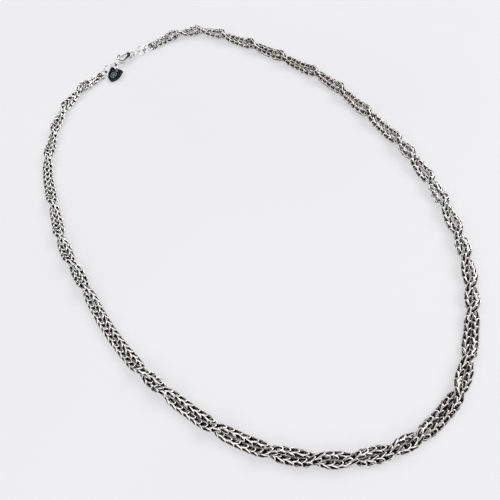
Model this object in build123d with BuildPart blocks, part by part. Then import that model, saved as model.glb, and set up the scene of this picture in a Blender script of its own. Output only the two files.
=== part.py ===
from build123d import *
import math
import os

# Double chain necklace, laid out as a closed loop on a flat surface. Sizes in millimetres.
# +Z is up, z = 0 is the surface, and the origin is under the middle of the loop.
# The loop runs clockwise from the clasp's eye, round the front and back to the clasp's hook.

# The two chains
strand_diameter = 2.0
strand_gap = 0.08
eye_wire = 0.20
eye_inside = 0.60

# How the chains wind round each other
crossing_reach = 3.6
longest_run = 5.0
shortest_run = 3.0
spread_at_crossing = 1.15
side_lift = 0.25
arc_share = 0.45

# Middle line of the pair, as chosen points from the clasp's eye side round to its hook side
route = [
    (-16.9, 89.9),
    (-0.4, 91.5),
    (12.6, 81.0),
    (24.7, 69.6),
    (35.5, 57.2),
    (46.1, 44.0),
    (52.8, 28.6),
    (59.5, 13.1),
    (64.7, -3.0),
    (67.3, -19.6),
    (67.4, -36.4),
    (64.0, -52.8),
    (57.2, -68.4),
    (47.8, -82.2),
    (32.5, -90.4),
    (15.5, -91.3),
    (-1.0, -86.9),
    (-15.4, -78.4),
    (-27.8, -66.8),
    (-38.8, -53.9),
    (-47.3, -39.4),
    (-53.6, -23.8),
    (-61.0, -8.4),
    (-64.0, 8.1),
    (-67.8, 24.6),
    (-66.4, 41.4),
    (-62.4, 57.3),
    (-52.9, 70.0),
]

# Where the chains cross, as shares of the middle line, and where their turn changes hand
crossings = [
    0.025, 0.048, 0.074, 0.107, 0.141, 0.177, 0.208, 0.242, 0.278, 0.296, 0.321, 0.343,
    0.366, 0.385, 0.406, 0.422, 0.454, 0.476, 0.511, 0.527, 0.549, 0.570, 0.595, 0.629,
    0.667, 0.688, 0.763, 0.788, 0.814, 0.847, 0.898, 0.927, 0.953, 0.979,
]
hand_change = 17

# Lobster clasp, in its own plane: the belly's centre is its origin, +X runs to the eye
clasp_place = (-35.8, 80.9)
clasp_heading = 15.0
clasp_roll = 12.0
clasp_lift = 0.80
clasp_thickness = 1.6
belly_radius = 2.15
claw_radius = 1.30
throat_place = (2.0, 0.35)
throat_radius = 0.55
nose_tip = -0.15
shoulder_place = (3.3, 0.15)
shoulder_radius = 1.25
clasp_eye_place = (5.05, 0.25)
clasp_eye_radius = 0.92
clasp_eye_wire = 0.34
clasp_edge_round = 0.36
claw_edge_round = 0.26

# The clasp's lever and its pin
pin_place = (3.1, 0.62)
pin_radius = 0.27
pin_head = 0.05
pin_clearance = 0.04
cheek_radius = 0.88
lever_thickness = 0.75
lever_clearance = 0.10
lever_root_radius = 0.62
lever_middle = (1.15, 1.17)
lever_middle_radius = 0.38
lever_tip = (-0.05, 0.86)
lever_tip_radius = 0.30
thumb_place = (3.6, 1.95)
thumb_radius = 0.34
thumb_root_radius = 0.38
lever_edge_break = 0.16
lever_range = 22.0
lever_steps = 5

# Jump rings: radius to the middle of the wire, the wire's own radius, and the ring's lean
ring_slack = 0.40
seat_slack = 0.33
eye_slack = 0.12
right_heading = 26.2
left_heading = 215.7
clasp_ring_radius = 1.70
clasp_ring_wire = 0.26
clasp_ring_lean = 62.0
right_link_radius = 1.70
right_link_wire = 0.26
right_link_lean = 121.0
right_end_radius = 2.20
right_end_wire = 0.26
catch_radius = 1.85
catch_wire = 0.25
catch_lean = 110.0
tag_link_radius = 1.80
tag_link_wire = 0.25
tag_link_lean = 8.0
tag_link_height = 1.28
left_link_radius = 1.85
left_link_wire = 0.25
left_link_lean = 99.0
left_end_radius = 1.75
left_end_wire = 0.26
end_ring_height = 1.20

# Shield tag and the ring that carries it
tag_ring_radius = 1.60
tag_ring_wire = 0.22
tag_ring_heading = -68.4
tag_heading = -129.5
tag_width = 6.0
tag_length = 6.3
tag_thickness = 0.80
tag_shoulder = 2.1
tag_corner = 0.45
tag_hole_radius = 0.58
tag_hole_inset = 0.95
tag_rim = 0.40
tag_sink = 0.20

# Rosette on the tag: six petals and a bud inside a plain ring
rosette_drop = 2.30
rosette_ring_radius = 1.35
rosette_ring_width = 0.22
petal_count = 6
petal_length = 0.86
petal_width = 0.38
petal_radius = 0.65
bud_radius = 0.24

# Worked out from the sizes above
strand_radius = strand_diameter / 2
over_rise = strand_diameter + strand_gap
half_spacing = (strand_diameter + strand_gap) / 2
eye_ring_radius = eye_inside + eye_wire
up = Vector(0, 0, 1)


def compass(degrees):
    """Level unit vector at an angle from +X."""
    return Vector(math.cos(math.radians(degrees)), math.sin(math.radians(degrees)), 0)


def corner_radii(points):
    """Radius of each corner: as large as its two runs allow."""
    radii = []
    for before, corner, after in zip(points, points[1:], points[2:]):
        half_turn = math.radians((corner - before).get_angle(after - corner)) / 2
        shorter_run = min((corner - before).length, (after - corner).length)
        radii.append(arc_share * shorter_run / math.tan(half_turn))
    return radii


def level_ends(edges, normal):
    """Those of a plate's edges that lie in its lower and upper faces."""
    layers = edges.group_by(normal)
    return layers[0] + layers[-1]


def ring_plane(centre, heading, lean):
    """Plane of a ring whose diameter lies along the heading, leaning from level by an angle."""
    along = compass(heading)
    side = up.cross(along)
    normal = up * math.cos(math.radians(lean)) + side * math.sin(math.radians(lean))
    return Plane(origin=centre, x_dir=along, z_dir=normal)


def resting_height(radius, wire, lean):
    """Height of a leaning ring's centre when its lowest wire touches the surface."""
    return radius * math.sin(math.radians(lean)) + wire


def next_ring(centre, heading, radius, wire, next_radius, next_wire, height):
    """Centre of the ring that hooks into this one, pulled out along the heading."""
    reach = radius + next_radius - wire - next_wire - ring_slack
    place = centre + compass(heading) * reach
    return Vector(place.X, place.Y, height)


def tapered_bar(start, end, start_radius, end_radius):
    """Flat bar with two round ends."""
    with BuildSketch(mode=Mode.PRIVATE) as bar:
        with Locations(start):
            Circle(start_radius)
        with Locations(end):
            Circle(end_radius)
        make_hull()
    return bar.sketch


def lever_outline(growth):
    """The lever seen from above: an arm bowed over the claw's gap, and a thumb piece."""
    arm = tapered_bar(pin_place, lever_middle, lever_root_radius + growth, lever_middle_radius + growth)
    point = tapered_bar(lever_middle, lever_tip, lever_middle_radius + growth, lever_tip_radius + growth)
    thumb = tapered_bar(pin_place, thumb_place, thumb_root_radius + growth, thumb_radius + growth)
    return arm + point + thumb


# Clasp frame: rolled about its length with its back edge low, and lying on its two rings' wires
clasp_tilt = math.radians(clasp_roll)
clasp_height = clasp_lift + clasp_thickness / 2 * math.cos(clasp_tilt) + belly_radius * math.sin(clasp_tilt)
clasp_plane = ring_plane(Vector(*clasp_place, clasp_height), clasp_heading, -clasp_roll)
clasp_normal = Axis(clasp_plane.origin, clasp_plane.z_dir)
pin_axis = Axis(clasp_plane.from_local_coords(Vector(*pin_place, 0)), clasp_plane.z_dir)

# Rings on the clasp's eye side, from the eye to the chains
clasp_eye = clasp_plane.from_local_coords(Vector(*clasp_eye_place, 0))
eye_seat = clasp_eye_radius - clasp_eye_wire - clasp_ring_wire - eye_slack + clasp_ring_radius
clasp_ring_centre = clasp_eye + compass(right_heading) * eye_seat
clasp_ring_height = max(clasp_eye.Z, resting_height(clasp_ring_radius, clasp_ring_wire, clasp_ring_lean))
clasp_ring_centre.Z = clasp_ring_height
right_link_centre = next_ring(
    clasp_ring_centre, right_heading, clasp_ring_radius, clasp_ring_wire, right_link_radius,
    right_link_wire, resting_height(right_link_radius, right_link_wire, right_link_lean))
right_end_centre = next_ring(
    right_link_centre, right_heading, right_link_radius, right_link_wire, right_end_radius,
    right_end_wire, end_ring_height)

# Rings on the clasp's hook side, from the hook to the chains
hook_seat = claw_radius - catch_wire - seat_slack + catch_radius
catch_centre = Vector(*clasp_place, 0) + compass(left_heading) * hook_seat
catch_centre.Z = resting_height(catch_radius, catch_wire, catch_lean)
tag_link_centre = next_ring(
    catch_centre, left_heading, catch_radius, catch_wire, tag_link_radius, tag_link_wire,
    tag_link_height)
left_link_centre = next_ring(
    tag_link_centre, left_heading, tag_link_radius, tag_link_wire, left_link_radius,
    left_link_wire, resting_height(left_link_radius, left_link_wire, left_link_lean))
left_end_centre = next_ring(
    left_link_centre, left_heading, left_link_radius, left_link_wire, left_end_radius,
    left_end_wire, end_ring_height)

# Tag ring and tag: the tag's point touches the surface and its hole hangs in the ring
tag_ring_centre = next_ring(
    tag_link_centre, tag_ring_heading, tag_link_radius, tag_link_wire, tag_ring_radius,
    tag_ring_wire, resting_height(tag_ring_radius, tag_ring_wire, 90))
tag_hole_place = tag_ring_centre + compass(tag_ring_heading) * tag_ring_radius
tag_reach = tag_length - tag_hole_inset
tag_tilt = math.asin((tag_hole_place.Z - tag_thickness / 2) / tag_reach)
tag_down = compass(tag_heading) * math.cos(tag_tilt) - up * math.sin(tag_tilt)
tag_across = up.cross(tag_down).normalized()
tag_plane = Plane(origin=tag_hole_place, x_dir=tag_across, z_dir=tag_across.cross(-tag_down))


def strand_end(ring_centre, ring_radius, heading):
    """Middle of the pair's end beside an end ring, and how far the eyes stand back from it."""
    eye_distance = math.sqrt(ring_radius ** 2 - half_spacing ** 2)
    eye_middle = ring_centre + compass(heading) * eye_distance
    return Vector(eye_middle.X, eye_middle.Y, 0)


right_eyes = strand_end(right_end_centre, right_end_radius, right_heading)
left_eyes = strand_end(left_end_centre, left_end_radius, left_heading)
pair_start = right_eyes + compass(right_heading) * eye_ring_radius
pair_end = left_eyes + compass(left_heading) * eye_ring_radius

# Middle line of the pair, level at z = 0
middle_points = [pair_start] + [Vector(x, y) for x, y in route] + [pair_end]
middle_line = FilletPolyline(*middle_points, radius=corner_radii(middle_points))
middle_length = middle_line.length


def twist_rows():
    """Rows of distance along the pair, side, and the strand that is on top.

    Where the strands lie side by side there is one row, or more on a longer flat stretch. At each
    crossing there are two rows near its top, where the strands swap sides. The side is in half
    spacings, positive where strand a lies on the loop's outer side.
    """
    places = [share * middle_length for share in crossings]
    stops = [-crossing_reach] + places + [middle_length + crossing_reach]
    gaps = [after - before for before, after in zip(stops, stops[1:])]
    reaches = [gap / 2 if gap < 2 * crossing_reach + shortest_run else crossing_reach for gap in gaps]
    rows = []
    side = 1
    for count, gap in enumerate(gaps):
        flat = gap - 2 * reaches[count]
        steps = math.ceil(flat / longest_run)
        for step in range(steps + 1):
            spread = spread_at_crossing if step in (0, steps) else 1
            distance = stops[count] + reaches[count] + flat * step / max(steps, 1)
            rows.append((distance, side * spread, None))
        if count < len(places):
            top = "a" if (count % 2 == 0) == (count < hand_change) else "b"
            reach_in = reaches[count] / 3
            reach_out = reaches[count + 1] / 3
            rows.append((places[count] - reach_in, side * spread_at_crossing / 2, top))
            rows.append((places[count] + reach_out, -side * spread_at_crossing / 2, top))
            side = -side
    return rows


def strand_points(name):
    """Route of one strand: the middle line's points moved to its side and lifted at crossings."""
    hand = 1 if name == "a" else -1
    rows = twist_rows()
    tops = [row[2] for row in rows]
    points = []
    for number, (distance, side, top) in enumerate(rows[1:-1], start=1):
        place = middle_line.position_at(distance, position_mode=PositionMode.LENGTH)
        travel = middle_line.tangent_at(distance, position_mode=PositionMode.LENGTH)
        if top == name:
            rise = over_rise
        elif top is None:
            rise = over_rise * side_lift * tops[number - 1:number + 2].count(name)
        else:
            rise = 0.0
        points.append(place + up.cross(travel) * (hand * side * half_spacing) + up * (strand_radius + rise))
    return [strand_start[name]] + points + [strand_finish[name]]


right_side = up.cross(compass(right_heading)) * half_spacing
left_side = up.cross(compass(left_heading)) * half_spacing
strand_start = {
    "a": pair_start + right_side + up * strand_radius,
    "b": pair_start - right_side + up * strand_radius,
}
strand_finish = {
    "a": pair_end - left_side + up * strand_radius,
    "b": pair_end + left_side + up * strand_radius,
}


def build_strand(name):
    """One chain as a tube along its route, with a soldered upright eye at each end."""
    points = strand_points(name)
    radii = corner_radii(points)
    print(f"strand_{name}: {len(points)} points, radii", [round(radius, 1) for radius in radii])
    right_eye = points[0] - compass(right_heading) * eye_ring_radius
    left_eye = points[-1] - compass(left_heading) * eye_ring_radius
    with BuildPart() as strand:
        with BuildLine() as path:
            FilletPolyline(*points, radius=radii)
        with BuildSketch(Plane(origin=path.line @ 0, z_dir=path.line % 0)):
            Circle(strand_radius)
        sweep(path=path.line)
        length = sum(edge.length for edge in path.edges())
        print(f"strand_{name}: length {length:.1f}, tube {strand.part.volume:.2f}, "
              f"section times length {math.pi * strand_radius ** 2 * length:.2f}")
        with Locations(ring_plane(right_eye, right_heading, 90), ring_plane(left_eye, left_heading, 90)):
            Torus(eye_ring_radius, eye_wire)
    strand.part.label = f"strand_{name}"
    return strand.part


def build_ring(name, plane, radius, wire):
    """A closed round jump ring."""
    with BuildPart(plane) as ring:
        Torus(radius, wire)
    ring.part.label = name
    return ring.part


# Clasp body: a tear-shaped plate with a claw opening, cheeks for the lever, and a round eye
with BuildPart() as clasp_body:
    with BuildSketch(clasp_plane):
        add(tapered_bar((0, 0), shoulder_place, belly_radius, shoulder_radius))
    extrude(amount=clasp_thickness / 2, both=True)
    fillet(level_ends(clasp_body.edges(), clasp_normal), clasp_edge_round)
    with BuildSketch(clasp_plane):
        add(tapered_bar((0, 0), throat_place, claw_radius, throat_radius))
    extrude(amount=clasp_thickness, both=True, mode=Mode.SUBTRACT)
    fillet(level_ends(clasp_body.edges(Select.LAST), clasp_normal), claw_edge_round)
    with BuildSketch(clasp_plane):
        with Locations((nose_tip, 0)):
            Rectangle(pin_place[0] - nose_tip, belly_radius * 2, align=(Align.MIN, Align.MIN))
        with Locations(pin_place):
            Circle(cheek_radius, mode=Mode.SUBTRACT)
    extrude(amount=clasp_thickness, both=True, mode=Mode.SUBTRACT)
    with BuildSketch(clasp_plane):
        for step in range(lever_steps + 1):
            turn = Rot(0, 0, lever_range * step / lever_steps)
            add(Pos(*pin_place) * turn * Pos(-pin_place[0], -pin_place[1]) * lever_outline(lever_clearance))
    extrude(amount=lever_thickness / 2 + lever_clearance, both=True, mode=Mode.SUBTRACT)
    with Locations(clasp_plane * Pos(*clasp_eye_place)):
        Torus(clasp_eye_radius, clasp_eye_wire)
    with BuildSketch(clasp_plane):
        with Locations(pin_place):
            Circle(pin_radius)
    extrude(amount=clasp_thickness, both=True, mode=Mode.SUBTRACT)
clasp_body.part.label = "clasp_body"

# Lever: bored to run on the pin
with BuildPart() as clasp_lever:
    with BuildSketch(clasp_plane):
        add(lever_outline(0))
    extrude(amount=lever_thickness / 2, both=True)
    chamfer(level_ends(clasp_lever.edges(), clasp_normal), lever_edge_break)
    with BuildSketch(clasp_plane):
        with Locations(pin_place):
            Circle(pin_radius + pin_clearance)
    extrude(amount=clasp_thickness, both=True, mode=Mode.SUBTRACT)
clasp_lever.part.label = "clasp_lever"

# Pin: riveted in both cheeks, with its ends just proud
with BuildPart() as clasp_pin:
    with BuildSketch(clasp_plane):
        with Locations(pin_place):
            Circle(pin_radius)
    extrude(amount=clasp_thickness / 2 + pin_head, both=True)
    chamfer(level_ends(clasp_pin.edges(), clasp_normal), pin_head)
clasp_pin.part.label = "clasp_pin"

# Tag: a shield with a raised rim, a hole for its ring and a rosette in its sunk field
with BuildPart() as tag:
    with BuildSketch(tag_plane) as shield:
        with BuildLine():
            shoulder_drop = tag_hole_inset - tag_shoulder
            left_side = Line((-tag_width / 2, shoulder_drop), (-tag_width / 2, tag_hole_inset))
            top_edge = Line(left_side @ 1, (tag_width / 2, tag_hole_inset))
            right_side = Line(top_edge @ 1, (tag_width / 2, shoulder_drop))
            right_curve = TangentArc(right_side @ 1, (0, tag_hole_inset - tag_length), tangent=right_side % 1)
            TangentArc(left_side @ 0, right_curve @ 1, tangent=right_side % 1)
        make_face()
        corners = shield.vertices().group_by(Axis(tag_plane.origin, tag_plane.y_dir))
        fillet(corners[-1] + corners[0], tag_corner)
    extrude(amount=tag_thickness / 2, both=True)
    upper_face = tag_plane.offset(tag_thickness / 2)
    with BuildSketch(upper_face):
        add(shield.sketch_local)
        offset(amount=-tag_rim, mode=Mode.REPLACE)
        with Locations((0, -rosette_drop)):
            Circle(rosette_ring_radius + rosette_ring_width / 2, mode=Mode.SUBTRACT)
            Circle(rosette_ring_radius - rosette_ring_width / 2)
            with PolarLocations(petal_radius, petal_count):
                Ellipse(petal_length / 2, petal_width / 2, mode=Mode.SUBTRACT)
            Circle(bud_radius, mode=Mode.SUBTRACT)
    extrude(amount=-tag_sink, mode=Mode.SUBTRACT)
    with BuildSketch(tag_plane):
        Circle(tag_hole_radius)
    extrude(amount=tag_thickness, both=True, mode=Mode.SUBTRACT)
tag.part.label = "tag"

# Jump rings, by name: centre, heading, lean, radius to the middle of the wire, and wire radius
ring_table = {
    "clasp_ring": (clasp_ring_centre, right_heading, clasp_ring_lean, clasp_ring_radius, clasp_ring_wire),
    "right_link_ring": (
        right_link_centre, right_heading, right_link_lean, right_link_radius, right_link_wire),
    "right_end_ring": (right_end_centre, right_heading, 0, right_end_radius, right_end_wire),
    "catch_ring": (catch_centre, left_heading, catch_lean, catch_radius, catch_wire),
    "tag_link_ring": (tag_link_centre, left_heading, tag_link_lean, tag_link_radius, tag_link_wire),
    "left_link_ring": (
        left_link_centre, left_heading, left_link_lean, left_link_radius, left_link_wire),
    "left_end_ring": (left_end_centre, left_heading, 0, left_end_radius, left_end_wire),
    "tag_ring": (tag_ring_centre, tag_ring_heading, 90, tag_ring_radius, tag_ring_wire),
}

pieces = [clasp_body.part, clasp_lever.part, clasp_pin.part, tag.part]
for ring_name, (centre, heading, lean, radius, wire) in ring_table.items():
    pieces.append(build_ring(ring_name, ring_plane(centre, heading, lean), radius, wire))
for strand_name in ("a", "b"):
    pieces.append(build_strand(strand_name))

os.makedirs("parts", exist_ok=True)
for piece in pieces:
    export_step(piece, f"parts/{piece.label}.step")
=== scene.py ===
import math

import bpy
import numpy as np
from mathutils import Matrix, Vector


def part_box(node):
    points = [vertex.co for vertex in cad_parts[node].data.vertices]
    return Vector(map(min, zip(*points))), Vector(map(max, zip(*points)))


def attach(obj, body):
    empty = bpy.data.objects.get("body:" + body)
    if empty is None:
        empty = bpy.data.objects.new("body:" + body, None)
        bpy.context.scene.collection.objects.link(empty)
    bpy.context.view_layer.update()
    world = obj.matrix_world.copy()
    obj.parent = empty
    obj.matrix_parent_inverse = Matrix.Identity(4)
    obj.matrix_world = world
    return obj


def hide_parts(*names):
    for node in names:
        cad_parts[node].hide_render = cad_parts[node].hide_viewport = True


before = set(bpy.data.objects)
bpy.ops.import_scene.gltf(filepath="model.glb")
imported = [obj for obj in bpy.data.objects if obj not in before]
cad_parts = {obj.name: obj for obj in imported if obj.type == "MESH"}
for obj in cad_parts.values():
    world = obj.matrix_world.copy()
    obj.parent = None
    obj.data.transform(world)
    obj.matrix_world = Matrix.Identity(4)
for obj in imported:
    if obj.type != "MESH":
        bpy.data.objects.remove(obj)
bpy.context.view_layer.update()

# Sizes repeated from the model
strand_diameter = 0.0020
strand_gap = 0.00008
eye_wire = 0.00020
eye_inside = 0.00060
crossing_reach = 0.0036
longest_run = 0.0050
shortest_run = 0.0030
spread_at_crossing = 1.15
side_lift = 0.25
right_heading, left_heading = 26.2, 215.7
right_end_radius, left_end_radius = 0.00220, 0.00175
strand_radius = strand_diameter / 2
half_spacing = (strand_diameter + strand_gap) / 2
eye_ring_radius = eye_inside + eye_wire

# Middle line of the pair, from the clasp's eye side round to its hook side: control points of a curve
# fitted to the loop as the photo shows it
route = [
    (-0.0169, 0.0899), (-0.0004, 0.0915), (0.0126, 0.0810), (0.0247, 0.0696), (0.0355, 0.0572),
    (0.0461, 0.0440), (0.0528, 0.0286), (0.0595, 0.0131), (0.0647, -0.0030), (0.0673, -0.0196),
    (0.0674, -0.0364), (0.0640, -0.0528), (0.0572, -0.0684), (0.0478, -0.0822), (0.0325, -0.0904),
    (0.0155, -0.0913), (-0.0010, -0.0869), (-0.0154, -0.0784), (-0.0278, -0.0668), (-0.0388, -0.0539),
    (-0.0473, -0.0394), (-0.0536, -0.0238), (-0.0610, -0.0084), (-0.0640, 0.0081), (-0.0678, 0.0246),
    (-0.0664, 0.0414), (-0.0624, 0.0573), (-0.0529, 0.0700),
]
curve_steps = 16

# Where the chains cross, as shares of the middle line, and the crossing where their turn changes hand
crossings = [
    0.025, 0.048, 0.074, 0.107, 0.141, 0.177, 0.208, 0.242, 0.278, 0.296, 0.321, 0.343,
    0.366, 0.385, 0.406, 0.422, 0.454, 0.476, 0.511, 0.527, 0.549, 0.570, 0.595, 0.629,
    0.667, 0.688, 0.763, 0.788, 0.814, 0.847, 0.898, 0.927, 0.953, 0.979,
]
hand_change = 17

# How close the chains lie, in half spacings: how far one rises over the other where they cross and, at
# shares of the middle line, how far they are moved aside between crossings and at a crossing
crossing_rise = 1.78
pair_side = np.array([(0.00, 1.00), (0.08, 1.08), (0.32, 1.12), (0.42, 0.95), (0.62, 0.94),
                      (0.76, 0.86), (0.92, 0.78), (1.00, 0.90)])
pair_cross = np.array([(0.00, 0.85), (0.60, 0.85), (0.75, 0.62), (1.00, 0.55)])
over_rise = half_spacing * crossing_rise

# Wheat link: a closed wire loop folded over the chain's middle. The wire's radius, the step from link
# to link, then the shape that link_line works out, and how much wider than high the chain is drawn
link_wire = 0.00021
link_advance = 0.00119
link_fold = 0.00265
link_fold_power = 1.25
link_flare = 0.85
link_waist = 0.00018
link_width = 0.00048
link_swell, link_taper = 1.6, 0.6
link_blunt = 0.75
link_spread = 1.20
link_steps, link_sides = 32, 6
eye_steps, eye_sides = 28, 10

# How unevenly the links lie: scatter along the chain and about it, and a slow roll with its length
chain_seed = 7
nose_scatter = 0.00005
roll_scatter = 0.13
slow_roll = 0.35
slow_roll_length = 0.031
slow_roll_start = {"a": 0.0, "b": 2.0}

# Shade and wear painted into a link's colour: darkest deep in the weave and where the skin faces inward,
# which is partly tarnish and partly painted shade, brightest where links stand out polished. Where it
# starts and over how much it grows, first with the share of the chain's radius, then with how squarely
# the skin faces outward
shade_and_wear_depth_from, shade_and_wear_depth_over = 0.10, 0.60
shade_and_wear_facing_from, shade_and_wear_facing_over = -0.20, 0.95
eye_shade_and_wear = 0.45

# Painted light along a chain, at shares of its length: below zero a stretch is painted darker, above
# zero brighter, standing in for how brightly the room lights it. It counts in full where the skin's
# own shade-and-wear value times the onset factor is one or more
painted_light_along_chain = np.array([(0.00, 0.08), (0.12, -0.19), (0.24, -0.17), (0.37, 0.03), (0.49, -0.07),
                       (0.61, -0.06), (0.73, 0.18), (0.85, 0.29), (1.00, 0.14)])
painted_light_onset = 2.5

# Tag and the ring that carries it, repeated from the model
tag_ring_heading, tag_heading = -68.4, -129.5
tag_ring_radius = 0.00160
tag_reach = 0.00535
tag_thickness = 0.00080
tag_sink = 0.00020
rosette_drop = 0.00230

# Where rings rub together, as pairs of nodes, and where the chains rub on their end rings: how far the
# painted shade around these joints reaches, which darkens the rings where parts meet
linked = [
    ("clasp_body", "clasp_ring", 0.0008), ("clasp_ring", "right_link_ring", 0.0005),
    ("right_link_ring", "right_end_ring", 0.0011), ("clasp_body", "catch_ring", 0.0006),
    ("catch_ring", "tag_link_ring", 0.0011), ("tag_link_ring", "left_link_ring", 0.0006),
    ("left_link_ring", "left_end_ring", 0.0011), ("tag_link_ring", "tag_ring", 0.0007),
]
right_end_shade_reach, left_end_shade_reach = 0.0028, 0.0018

# Colours of the finishes, linear red, green and blue
# Chain: hollow black and brown are tarnish and painted shade in the weave's hollows
hollow_black = (0.014, 0.010, 0.008)
hollow_brown = (0.10, 0.080, 0.064)
link_grey = (0.58, 0.55, 0.51)
link_bright = (0.92, 0.91, 0.88)
# Clasp: the two darkest colours are a painted reflection on its flat tops and painted shade under it
clasp_bright = (0.97, 0.96, 0.94)
clasp_grey = (0.52, 0.50, 0.48)
clasp_painted_dark = (0.07, 0.066, 0.062)
clasp_black = (0.018, 0.016, 0.015)
# Rings: the darkest colour is painted shade where parts meet
ring_bright = (0.98, 0.98, 0.97)
ring_grey = (0.60, 0.58, 0.56)
ring_painted_shade = (0.05, 0.046, 0.042)
tag_black = (0.010, 0.013, 0.019)
tag_blue = (0.050, 0.062, 0.083)
tag_rubbed = (0.27, 0.31, 0.37)
table_dim = (0.355, 0.355, 0.363)
table_pale = (0.370, 0.370, 0.378)

# Table: half its width, how far its top lies under z = 0, and its surface
table_half = 1.5
table_drop = 2e-5
table_roughness = 0.6
table_glow = 1.28

# Room light: how bright it is, and what each part of the room multiplies it by. A part has a direction,
# the cosines to it between which it comes in, and the factor before and after
room_strength = 1.34
room_tint = (0.99, 0.99, 1.0)
backdrop_strength = 0.84
ceiling = ((0.0, 0.0, 1.0), 0.10, 0.55, 0.08, 1.0)
someone_leaning = ((0.05, -0.20, 0.98), 0.78, 0.97, 1.0, 0.22)
left_walls = ((-1.0, 0.0, 0.0), -0.35, 0.30, 0.48, 1.25)
right_opening = ((0.80, 0.45, 0.38), 0.78, 0.97, 1.0, 2.8)
dim_corner = ((-0.72, 0.60, 0.30), 0.72, 0.95, 1.0, 0.25)

# Camera: degrees that it leans and rolls, the spot that it looks at and how far off it is
camera_tilt, camera_roll = 28.946, -11.689
camera_target = (0.0020, -0.0245, 0.0)
camera_distance = 0.147544
sensor_width = 36.0
focal_pixels, picture_pixels = 450, 500


# Lines and directions

def compass(degrees):
    """Level unit vector at an angle from +X."""
    return np.array([math.cos(math.radians(degrees)), math.sin(math.radians(degrees)), 0.0])


def upcross(vectors):
    """Up cross each vector, made a unit: a quarter turn to the left, level."""
    vectors = np.asarray(vectors, float)
    level = np.stack([-vectors[..., 1], vectors[..., 0], np.zeros(vectors.shape[:-1])], -1)
    return level / np.linalg.norm(level, axis=-1, keepdims=True)


def smooth_line(points):
    """Points read along the quadratic NURBS spline whose control points these are."""
    curve = bpy.data.curves.new("line", "CURVE")
    curve.dimensions = "3D"
    curve.resolution_u = curve_steps
    spline = curve.splines.new("NURBS")
    spline.points.add(len(points) - 1)
    spline.points.foreach_set("co", np.c_[points, np.ones(len(points))].astype(np.float32).ravel())
    spline.order_u = 3
    spline.use_endpoint_u = True
    holder = bpy.data.objects.new("line", curve)
    mesh = bpy.data.meshes.new_from_object(holder)
    line = np.zeros(len(mesh.vertices) * 3)
    mesh.vertices.foreach_get("co", line)
    bpy.data.meshes.remove(mesh)
    bpy.data.objects.remove(holder)
    bpy.data.curves.remove(curve)
    return line.reshape(-1, 3)


def lengths_along(line):
    """Distance from the start to each point of a line."""
    return np.r_[0.0, np.cumsum(np.linalg.norm(np.diff(line, axis=0), axis=1))]


def at_distance(distances, marks, values):
    """Rows of values, given at marks, read at any distances by straight interpolation."""
    return np.stack([np.interp(distances, marks, values[:, axis]) for axis in range(values.shape[1])], -1)


def directions(line, marks):
    """Unit tangents of a line."""
    slope = np.gradient(line, marks, axis=0)
    return slope / np.linalg.norm(slope, axis=1, keepdims=True)


def at_share(share, table):
    """Value at a share of the length, from a table of (share, value) rows."""
    return np.interp(share, table[:, 0], table[:, 1])


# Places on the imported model

def ring_centre(node):
    """Middle of a CAD ring's box."""
    low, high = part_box(node)
    return np.array((low + high) / 2)


def shared_middle(one, other):
    """Middle of the box that two neighbouring nodes' boxes share."""
    low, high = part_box(one)
    other_low, other_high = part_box(other)
    low = np.maximum(np.array(low), np.array(other_low))
    high = np.minimum(np.array(high), np.array(other_high))
    return (low + high) / 2


def pair_end(node, ring_radius, heading):
    """Where the pair's middle line ends beside an end ring, at z = 0."""
    stand_off = math.sqrt(ring_radius ** 2 - half_spacing ** 2) + eye_ring_radius
    place = ring_centre(node) + compass(heading) * stand_off
    return np.array([place[0], place[1], 0.0])


def right_end():
    """End of the pair's middle line at the clasp's eye side."""
    return pair_end("right_end_ring", right_end_radius, right_heading)


def left_end():
    """End of the pair's middle line at the clasp's hook side."""
    return pair_end("left_end_ring", left_end_radius, left_heading)


# The two chains' courses

def twist_rows(middle_length):
    """Rows of distance along the pair, side, and the strand on top. Between crossings the strands lie
    side by side, in rows at most longest_run apart, and each crossing has two rows near its top,
    where they swap sides."""
    places = [share * middle_length for share in crossings]
    stops = [-crossing_reach] + places + [middle_length + crossing_reach]
    gaps = [after - before for before, after in zip(stops, stops[1:])]
    reaches = [gap / 2 if gap < 2 * crossing_reach + shortest_run else crossing_reach for gap in gaps]
    rows = []
    side = 1
    for count, gap in enumerate(gaps):
        flat = gap - 2 * reaches[count]
        steps = math.ceil(flat / longest_run)
        for step in range(steps + 1):
            spread = spread_at_crossing if step in (0, steps) else 1
            distance = stops[count] + reaches[count] + flat * step / max(steps, 1)
            rows.append((distance, side * spread, None))
        if count < len(places):
            top = "a" if (count % 2 == 0) == (count < hand_change) else "b"
            cross = at_share(crossings[count], pair_cross)
            rows.append((places[count] - reaches[count] / 3, side * cross, top))
            rows.append((places[count] + reaches[count + 1] / 3, -side * cross, top))
            side = -side
    return rows


def strand_course(name, start, end):
    """Control points of one chain: points of the pair's middle line, moved to the chain's side and
    lifted where it passes over the other chain."""
    hand = 1 if name == "a" else -1
    middle = smooth_line([start] + [(x, y, 0.0) for x, y in route] + [end])
    marks = lengths_along(middle)
    travel = directions(middle, marks)
    rows = twist_rows(marks[-1])
    tops = [row[2] for row in rows]
    up_radius = np.array([0.0, 0.0, strand_radius])
    right_side = upcross(compass(right_heading)) * hand * half_spacing
    left_side = upcross(compass(left_heading)) * hand * half_spacing
    points = [start + right_side + up_radius]
    for number, (distance, side, top) in enumerate(rows[1:-1], start=1):
        place = at_distance([distance], marks, middle)[0]
        across = upcross(at_distance([distance], marks, travel))[0]
        if top == name:
            rise = over_rise
        elif top is None:
            rise = over_rise * side_lift * tops[number - 1:number + 2].count(name)
        else:
            rise = 0.0
        aside = hand * side * half_spacing * at_share(distance / marks[-1], pair_side)
        points.append(place + across * aside + up_radius + (0.0, 0.0, rise))
    points.append(end - left_side + up_radius)
    return points


# Meshes

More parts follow.
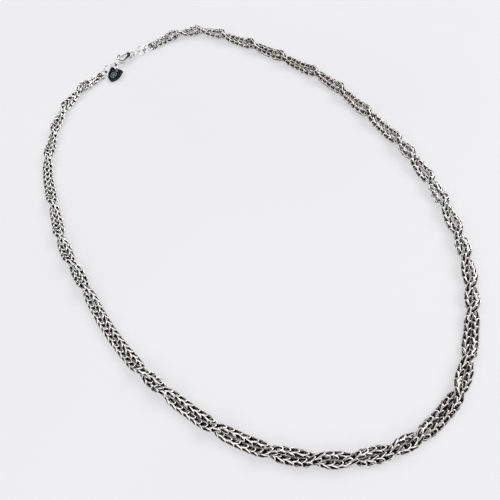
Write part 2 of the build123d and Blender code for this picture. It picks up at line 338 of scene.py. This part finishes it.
def closed_faces(rows, columns, first=0):
    """Quads of a grid that closes on itself both ways, its points stored row by row."""
    row, column = np.meshgrid(np.arange(rows), np.arange(columns), indexing="ij")
    next_row, next_column = (row + 1) % rows, (column + 1) % columns
    corners = [row * columns + column, next_row * columns + column,
               next_row * columns + next_column, row * columns + next_column]
    return np.stack(corners, -1).reshape(-1, 4) + first


def ring_points(centre, along, normal, radius, wire):
    """Ring: a circle of the wire's radius carried round a circle about centre, in the plane that
    holds along and is square to normal."""
    across = np.cross(normal, along)
    turn = np.arange(eye_steps) * 2 * math.pi / eye_steps
    roll = np.arange(eye_sides) * 2 * math.pi / eye_sides
    out = np.cos(turn)[:, None] * along + np.sin(turn)[:, None] * across
    ring = out[:, None] * (radius + wire * np.cos(roll))[None, :, None]
    return centre + ring + normal * (wire * np.sin(roll))[None, :, None]


def put_mesh(name, points, faces, body, material, shade_and_wear):
    """A new piece from its points and quads, smooth shaded, with its painted shade and wear, riding on a
    body.
    """
    mesh = bpy.data.meshes.new(name)
    mesh.from_pydata(points.tolist(), [], faces.tolist())
    mesh.validate()
    mesh.shade_smooth()
    mesh.attributes.new("shade_and_wear", "FLOAT", "POINT").data.foreach_set("value", shade_and_wear.astype(np.float32))
    mesh.materials.append(material)
    piece = bpy.data.objects.new(name, mesh)
    bpy.context.scene.collection.objects.link(piece)
    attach(piece, body)
    return piece


# Wheat chain

def link_line():
    """Centreline and section directions of one link, in (along, across, up) from its nose.

    With t round the loop and u = |sin t|: the wire goes back along the chain by fold x u^power, out
    to the sides by reach x u^flare, and up or down by |cos t|^blunt times a width of
    waist + width x u x (swell - taper x u). It lies in a sheet folded over the chain's middle. That
    sheet's own normal, square to the wire, gives the section's first direction, and the first cross
    the wire's travel the second, so that faces point outwards."""
    reach = strand_radius - link_wire
    least_share = 0.05
    t = np.arange(link_steps) * 2 * math.pi / link_steps
    u = np.abs(np.sin(t))
    sign = np.where(np.sin(t) >= 0, 1.0, -1.0)
    along = -link_fold * u ** link_fold_power
    across = sign * reach * u ** link_flare
    width = link_waist + link_width * u * (link_swell - link_taper * u)
    up = np.sign(np.cos(t)) * np.abs(np.cos(t)) ** link_blunt * width
    line = np.stack([along, across, up], -1)
    slope_along = -link_fold * link_fold_power * u ** (link_fold_power - 1)
    slope_across = reach * link_flare * np.maximum(u, least_share) ** (link_flare - 1)
    normal = np.stack([slope_across, -sign * slope_along, np.zeros_like(u)], -1)
    normal /= np.linalg.norm(normal, axis=1, keepdims=True)
    tangent = np.roll(line, -1, axis=0) - np.roll(line, 1, axis=0)
    tangent /= np.linalg.norm(tangent, axis=1, keepdims=True)
    normal -= tangent * (normal * tangent).sum(1, keepdims=True)
    normal /= np.linalg.norm(normal, axis=1, keepdims=True)
    return line, normal, np.cross(normal, tangent)


def link_skin():
    """Points of one link's wire, steps by sides, in (along, across, up) from its nose: a polygon of
    the wire's radius carried along the centreline. Also each point's shade and wear, from 0 to 1: most
    where the skin is far from the chain's middle and faces outward; low values are tarnish and painted
    shade deep in the weave."""
    line, first_way, second_way = link_line()
    roll = (np.arange(link_sides) + 0.5) * 2 * math.pi / link_sides
    ring = (first_way[:, None] * np.cos(roll)[None, :, None]
            + second_way[:, None] * np.sin(roll)[None, :, None])
    skin = line[:, None] + ring * link_wire
    outward = line * (0.0, 1.0, 1.0)
    outward /= np.linalg.norm(outward, axis=1, keepdims=True)
    facing = (ring * outward[:, None]).sum(2)
    depth = np.hypot(skin[..., 1], skin[..., 2]) / strand_radius
    # Painted shade and tarnish: dark deep in the weave and where the skin faces inward
    shade_and_wear = (np.clip((depth - shade_and_wear_depth_from) / shade_and_wear_depth_over, 0, 1)
            * np.clip((facing - shade_and_wear_facing_from) / shade_and_wear_facing_over, 0, 1))
    return skin.reshape(-1, 3), shade_and_wear.ravel()


def woven_chain(name, line):
    """Points, quads and painted shade and wear of all links of one chain, with light painted along the
    chain. Each link's points are carried to the line at the distance of its nose plus their own, and
    turned about it a quarter more than the link before, with a little scatter and a slow roll."""
    marks = lengths_along(line)
    travel = directions(line, marks)
    across = upcross(travel)
    lift = np.cross(travel, across)
    skin, shade_and_wear = link_skin()
    first = link_fold + link_wire
    last = marks[-1] - link_wire
    count = int(round((last - first) / link_advance)) + 1
    rng = np.random.default_rng(chain_seed if name == "a" else chain_seed + 1)
    nose = np.linspace(first, last, count) + rng.normal(0, nose_scatter, count)
    roll = math.radians(45) + np.arange(count) * math.pi / 2 + rng.normal(0, roll_scatter, count)
    roll = roll + slow_roll * np.sin(nose / slow_roll_length + slow_roll_start[name])
    cos_roll, sin_roll = np.cos(roll)[:, None], np.sin(roll)[:, None]
    distance = np.clip(nose[:, None] + skin[None, :, 0], 0, marks[-1]).ravel()
    side = (skin[None, :, 1] * cos_roll - skin[None, :, 2] * sin_roll) * link_spread
    height = skin[None, :, 1] * sin_roll + skin[None, :, 2] * cos_roll
    points = (at_distance(distance, marks, line)
              + at_distance(distance, marks, across) * side.reshape(-1, 1)
              + at_distance(distance, marks, lift) * height.reshape(-1, 1))
    one = closed_faces(link_steps, link_sides)
    faces = (one[None] + (np.arange(count) * link_steps * link_sides)[:, None, None]).reshape(-1, 4)
    # Light and shade painted along the chain, for how brightly the room lights each stretch
    painted_light = at_share(nose / marks[-1], painted_light_along_chain)
    full = np.minimum(shade_and_wear * painted_light_onset, 1.0)
    return points, faces, (shade_and_wear[None] + painted_light[:, None] * full[None]).ravel()


def chain_piece(name, material):
    """One chain: its woven links and the soldered upright eye at each end."""
    line = smooth_line(strand_course(name, right_end(), left_end()))
    points, faces, shade_and_wear = woven_chain(name, line)
    all_points, all_faces, all_shade_and_wear = [points], [faces], [shade_and_wear]
    total = len(points)
    for tip, heading in ((line[0], right_heading), (line[-1], left_heading)):
        back = compass(heading)
        eye = ring_points(tip - back * eye_ring_radius, back, upcross(back), eye_ring_radius, eye_wire)
        all_points.append(eye.reshape(-1, 3))
        all_faces.append(closed_faces(eye_steps, eye_sides, total))
        all_shade_and_wear.append(np.full(eye_steps * eye_sides, eye_shade_and_wear))
        total += eye_steps * eye_sides
    piece = put_mesh(f"chain_{name}", np.concatenate(all_points), np.concatenate(all_faces), "necklace",
                     material, np.concatenate(all_shade_and_wear))
    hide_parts(f"strand_{name}")


# Node helpers

def node_maker(tree):
    """A function that adds a node to the tree, sets its properties, and sets or links its inputs."""
    def node(kind, inputs=None, **settings):
        made = tree.nodes.new(kind)
        for key, value in settings.items():
            setattr(made, key, value)
        for socket, value in (inputs or {}).items():
            if isinstance(value, bpy.types.NodeSocket):
                tree.links.new(value, made.inputs[socket])
            else:
                made.inputs[socket].default_value = value
        return made

    return node


def new_material(name):
    """Empty node material, the maker of its nodes, and the Object coordinates."""
    material = bpy.data.materials.new(name)
    material.use_nodes = True
    node = node_maker(material.node_tree)
    return material, node, node("ShaderNodeTexCoord").outputs["Object"]


def mapped(node, value, low, high, at_low, at_high):
    """A value eased from at_low to at_high while it goes from low to high."""
    ends = {"Value": value, "From Min": low, "From Max": high, "To Min": at_low, "To Max": at_high}
    return node("ShaderNodeMapRange", ends, interpolation_type="SMOOTHSTEP").outputs["Result"]


def distance_to(node, where, place):
    """How far a point is from a fixed place."""
    return node("ShaderNodeVectorMath", {0: where, 1: tuple(place)}, operation="DISTANCE").outputs["Value"]


def reach_along(node, where, direction):
    """How far a point lies along a unit direction."""
    return node("ShaderNodeVectorMath", {0: where, 1: tuple(direction)},
                operation="DOT_PRODUCT").outputs["Value"]


def noise(node, where, scale, detail):
    """Cloudy pattern between 0 and 1, with about scale spots to the metre."""
    return node("ShaderNodeTexNoise", {"Vector": where, "Scale": scale, "Detail": detail}).outputs["Fac"]


def clouded(node, where, value, scale, detail, depth):
    """A value moved up and down by depth times a cloudy pattern centred on zero."""
    shift = node("ShaderNodeMath", {0: noise(node, where, scale, detail), 1: 0.5}, operation="SUBTRACT")
    inputs = {0: shift.outputs[0], 1: depth, 2: value}
    return node("ShaderNodeMath", inputs, operation="MULTIPLY_ADD").outputs[0]


def ramp(node, factor, stops):
    """Colour ramp through (place, colour) stops."""
    made = node("ShaderNodeValToRGB", {"Fac": factor})
    elements = made.color_ramp.elements
    while len(elements) < len(stops):
        elements.new(0.5)
    for element, (place, colour) in zip(elements, stops):
        element.position = place
        element.color = (*colour, 1.0)
    return made.outputs["Color"]


def metal(material, node, share, colours, roughness):
    """Makes the material a metal whose colour and roughness follow a share."""
    grey_stops = [(place, (value,) * 3) for place, value in roughness]
    shader = material.node_tree.nodes["Principled BSDF"]
    material.node_tree.links.new(ramp(node, share, colours), shader.inputs["Base Color"])
    material.node_tree.links.new(ramp(node, share, grey_stops), shader.inputs["Roughness"])
    shader.inputs["Metallic"].default_value = 1.0


# Finishes

def chain_silver():
    """Silver of the links: black in the weave's hollows, partly tarnish and partly painted shade, polished
    bright where the links stand out, with light painted brighter or darker along the chain.
    """
    material, node, where = new_material("chain silver")
    shade_and_wear = node("ShaderNodeAttribute", attribute_name="shade_and_wear").outputs["Fac"]
    mixed = clouded(node, where, shade_and_wear, scale=700.0, detail=3.0, depth=0.5)
    metal(material, node, mixed,
          [(0.20, hollow_black), (0.44, hollow_brown), (0.64, link_grey), (0.84, link_bright)],
          [(0.3, 0.60), (0.7, 0.22)])
    return material


def clasp_silver():
    """Polished silver of the clasp: flat tops painted dark as a painted reflection and undersides painted
    dark as painted shade, between bright rounded edges, the painted dark clouded."""
    material, node, where = new_material("clasp silver")
    normal = node("ShaderNodeTexCoord").outputs["Normal"]
    facing = node("ShaderNodeSeparateXYZ", {0: normal}).outputs["Z"]
    # Painted reflection: flat tops painted dark; painted shade: undersides painted dark
    flat = mapped(node, facing, low=0.90, high=0.99, at_low=0.0, at_high=1.0)
    under = mapped(node, facing, low=-0.30, high=0.15, at_low=0.55, at_high=0.0)
    painted_dark = node("ShaderNodeMath", {0: flat, 1: under}, operation="MAXIMUM").outputs[0]
    painted_dark = clouded(node, where, painted_dark, scale=420.0, detail=3.0, depth=1.1)
    metal(material, node, painted_dark,
          [(0.25, clasp_bright), (0.55, clasp_grey), (0.80, clasp_painted_dark), (1.0, clasp_black)],
          [(0.3, 0.12), (0.9, 0.42)])
    return material


def ring_silver():
    """Bright silver of the jump rings, with painted shade: darkened near the places where they rub
    together, where parts meet.
    """
    material, node, where = new_material("ring silver")
    places = [(shared_middle(one, other), size) for one, other, size in linked]
    places.append((right_end() + (0.0, 0.0, strand_radius), right_end_shade_reach))
    places.append((left_end() + (0.0, 0.0, strand_radius), left_end_shade_reach))
    nearest = 2.0
    for place, size in places:
        # Painted shade near each place where parts meet
        away = node("ShaderNodeMath", {0: distance_to(node, where, place), 1: size}, operation="DIVIDE")
        nearest = node("ShaderNodeMath", {0: away.outputs[0], 1: nearest}, operation="MINIMUM").outputs[0]
    joint_shade_and_polish = mapped(node, nearest, low=0.5, high=1.0, at_low=1.0, at_high=0.0)
    dark = clouded(node, where, joint_shade_and_polish, scale=800.0, detail=3.0, depth=0.9)
    metal(material, node, dark,
          [(0.20, ring_bright), (0.50, ring_grey), (0.75, ring_painted_shade)],
          [(0.2, 0.20), (0.8, 0.50)])
    return material


def blackened_silver():
    """Blue-black oxidised silver of the tag, rubbed paler on the raised rim and most on the rosette.
    What is raised shows in how far it stands over the tag's middle plane, which holds its hole's
    centre and leans until the tip meets the table."""
    hole = ring_centre("tag_ring") + compass(tag_ring_heading) * tag_ring_radius
    lean = math.asin((hole[2] - tag_thickness / 2) / tag_reach)
    down = compass(tag_heading) * math.cos(lean) - np.array([0.0, 0.0, math.sin(lean)])
    face = np.cross(upcross(down), -down)
    rosette = hole + down * rosette_drop
    top = float(face @ hole) + tag_thickness / 2
    material, node, where = new_material("blackened silver")
    raised = mapped(node, reach_along(node, where, face), low=top - tag_sink * 0.7,
                    high=top - tag_sink * 0.1, at_low=0.0, at_high=1.0)
    share = mapped(node, distance_to(node, where, rosette), low=0.0014, high=0.0022,
                   at_low=0.85, at_high=0.25)
    joint_shade_and_polish = node("ShaderNodeMath", {0: raised, 1: share}, operation="MULTIPLY").outputs[0]
    pale = clouded(node, where, joint_shade_and_polish, scale=900.0, detail=4.0, depth=1.6)
    metal(material, node, pale,
          [(0.00, tag_black), (0.40, tag_blue), (0.90, tag_rubbed)],
          [(0.1, 0.48), (0.9, 0.30)])
    return material


def table_white():
    """Pale matt table top with a very faint unevenness. About half of its brightness is a glow of its
    own, so that shadows stay faint."""
    material, node, where = new_material("table white")
    colour = ramp(node, noise(node, where, scale=6.0, detail=2.0), [(0.3, table_dim), (0.7, table_pale)])
    shader = material.node_tree.nodes["Principled BSDF"]
    material.node_tree.links.new(colour, shader.inputs["Base Color"])
    material.node_tree.links.new(colour, shader.inputs["Emission Color"])
    shader.inputs["Emission Strength"].default_value = table_glow
    shader.inputs["Roughness"].default_value = table_roughness
    return material


def dress_nodes(by_kind):
    """Gives each CAD node the finish of its kind: ring, or else the first word of its name."""
    for name, node_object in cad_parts.items():
        finish = by_kind["ring" if name.endswith("ring") else name.split("_")[0]]
        if not node_object.material_slots:
            node_object.data.materials.append(finish)
        for slot in node_object.material_slots:
            slot.material = finish


# Table, light and camera

def put_table():
    """Square table top under the necklace."""
    corners = ((-1, -1), (1, -1), (1, 1), (-1, 1))
    mesh = bpy.data.meshes.new("table")
    mesh.from_pydata([(x * table_half, y * table_half, -table_drop) for x, y in corners], [], [(0, 1, 2, 3)])
    mesh.materials.append(table_white())
    table_top = bpy.data.objects.new("table_top", mesh)
    bpy.context.scene.collection.objects.link(table_top)


def light_room():
    """Room light by direction: a bright ceiling over dim walls, brighter to the left, with a dim patch
    overhead, an opening to the right and a dim corner. The camera itself sees a plain pale backdrop."""
    world = bpy.data.worlds.new("room")
    world.use_nodes = True
    node = node_maker(world.node_tree)
    where = node("ShaderNodeTexCoord").outputs["Generated"]
    light = room_strength
    for direction, low, high, before, after in (ceiling, someone_leaning, left_walls, right_opening,
                                                dim_corner):
        towards = reach_along(node, where, Vector(direction).normalized())
        factor = mapped(node, towards, low, high, before, after)
        light = node("ShaderNodeMath", {0: factor, 1: light}, operation="MULTIPLY").outputs[0]
    seen = node("ShaderNodeLightPath").outputs["Is Camera Ray"]
    light = node("ShaderNodeMix", {"Factor": seen, "A": light, "B": backdrop_strength}).outputs["Result"]
    background = world.node_tree.nodes["Background"]
    background.inputs["Color"].default_value = (*room_tint, 1.0)
    world.node_tree.links.new(light, background.inputs["Strength"])
    bpy.context.scene.world = world


def far_light(name, towards, spread, strength, colour):
    """Wide distant light that shines from a direction."""
    lamp = bpy.data.lights.new(name, "SUN")
    lamp.angle = math.radians(spread)
    lamp.energy = strength
    lamp.color = colour
    holder = bpy.data.objects.new(name, lamp)
    holder.rotation_euler = Vector(towards).to_track_quat("Z", "Y").to_euler()
    bpy.context.scene.collection.objects.link(holder)


def put_camera():
    """Camera that leans back from straight down and rolls about its own line of sight."""
    tilt, roll = math.radians(camera_tilt), math.radians(camera_roll)
    back = Vector((0.0, -math.sin(tilt), math.cos(tilt)))
    level_right = Vector((1.0, 0.0, 0.0))
    level_up = Vector((0.0, math.cos(tilt), math.sin(tilt)))
    right = level_right * math.cos(roll) + level_up * math.sin(roll)
    above = level_up * math.cos(roll) - level_right * math.sin(roll)
    lens = bpy.data.cameras.new("camera")
    lens.sensor_width = sensor_width
    lens.lens = sensor_width * focal_pixels / picture_pixels
    lens.clip_start = 0.005
    lens.clip_end = 10.0
    camera = bpy.data.objects.new("camera", lens)
    turn = Matrix((right, above, back)).transposed().to_4x4()
    camera.matrix_world = Matrix.Translation(Vector(camera_target) + back * camera_distance) @ turn
    bpy.context.scene.collection.objects.link(camera)
    bpy.context.scene.camera = camera
    bpy.context.scene.view_settings.view_transform = "Standard"


links_silver = chain_silver()
for strand in ("a", "b"):
    chain_piece(strand, links_silver)
finishes = {"strand": links_silver, "ring": ring_silver(), "clasp": clasp_silver(), "tag": blackened_silver()}
dress_nodes(finishes)
put_table()
far_light("window", towards=(0.72, 0.35, 0.60), spread=30, strength=1.0, colour=(1.0, 0.99, 0.97))
light_room()
put_camera()
